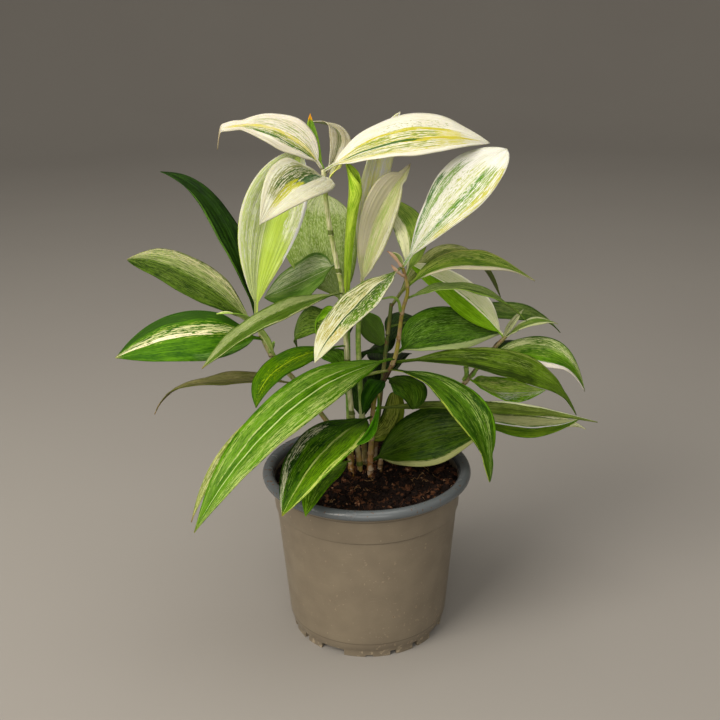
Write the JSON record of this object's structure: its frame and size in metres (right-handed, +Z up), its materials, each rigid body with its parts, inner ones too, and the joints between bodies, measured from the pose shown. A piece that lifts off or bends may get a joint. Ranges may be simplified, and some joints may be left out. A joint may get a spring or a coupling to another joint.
{
  "type": "potted gold dust dracaena",
  "caption": "Round plastic nursery pot with a rolled rim, filled with soil, from which slender canes carry whorls of pointed, cream-flecked leaves.",
  "frame": {"origin": "middle of the pot's foot on the floor, under the middle of the whole plant", "axes": "+Z up along the pot's axis, +X to the plant's right as seen from the front, -Y towards the viewer"},
  "size_m": [0.2665, 0.1801, 0.2976],
  "materials": {
    "pot": "satin taupe plastic with a dark rim",
    "soil": "damp peat with fibres",
    "cane": "brown-green bark",
    "sheath": "dry pale sheaths",
    "young": "smooth light green stem",
    "cream": "cream blade with green-yellow streaks",
    "pale": "pale cream-green blade",
    "fresh": "light green blade with a cream half",
    "speckled": "cream blade with green specks",
    "striped": "green blade with a cream middle stripe",
    "streaked": "green blade with cream streaks",
    "banded": "green blade with a cream band",
    "edged": "green blade with pale edges",
    "bright": "bright green blade",
    "green": "glossy green blade with pale flecks",
    "grey": "grey-green mottled blade",
    "olive": "olive-green streaked blade",
    "dark": "dark green blade with pale flecks"
  },
  "bodies": {
    "root": {"pot": "pot", "soil": "soil", "cane_front": "cane", "cane_tall": "sheath", "cane_spear": "young", "cane_middle": "young", "cane_left": "cane", "cane_right": "cane", "cane_back": "young", "leaf_spear": "young", "leaf_crown_left": "cream", "leaf_crown_right": "cream", "leaf_crown_front": "cream", "leaf_crown_back": "cream", "leaf_crown_bud": "young", "leaf_tall_back": "grey", "leaf_tall_left": "grey", "leaf_tall_front": "edged", "leaf_tall_low": "bright", "leaf_tall_narrow": "bright", "leaf_tall_hanging": "grey", "leaf_spear_rear": "dark", "leaf_left_upright": "fresh", "leaf_left_back": "dark", "leaf_left_arch": "streaked", "leaf_left_broad": "banded", "leaf_left_edge": "edged", "leaf_left_low": "olive", "leaf_front_up": "cream", "leaf_front_speckled": "speckled", "leaf_front_rear": "dark", "leaf_front_arch": "dark", "leaf_front_flat": "green", "leaf_knee_long": "striped", "leaf_knee_right": "green", "leaf_knee_far": "olive", "leaf_knee_broad": "green", "leaf_knee_hanging": "dark", "leaf_knee_drop": "dark", "leaf_low_front": "dark", "leaf_low_long": "edged", "leaf_low_right": "green", "leaf_low_left": "dark", "leaf_low_upright": "grey", "leaf_low_rear": "dark", "leaf_right_inward": "fresh", "leaf_right_small": "edged", "leaf_right_arch": "streaked", "leaf_right_under": "green", "leaf_right_low": "streaked", "leaf_right_last": "olive", "leaf_right_rear": "dark", "leaf_middle_fold": "pale", "leaf_middle_tall": "pale", "leaf_back_arch": "dark", "leaf_back_long": "dark", "leaf_back_round": "dark", "leaf_back_inner": "dark", "leaf_back_rear": "dark"}
  },
  "joints": []
}
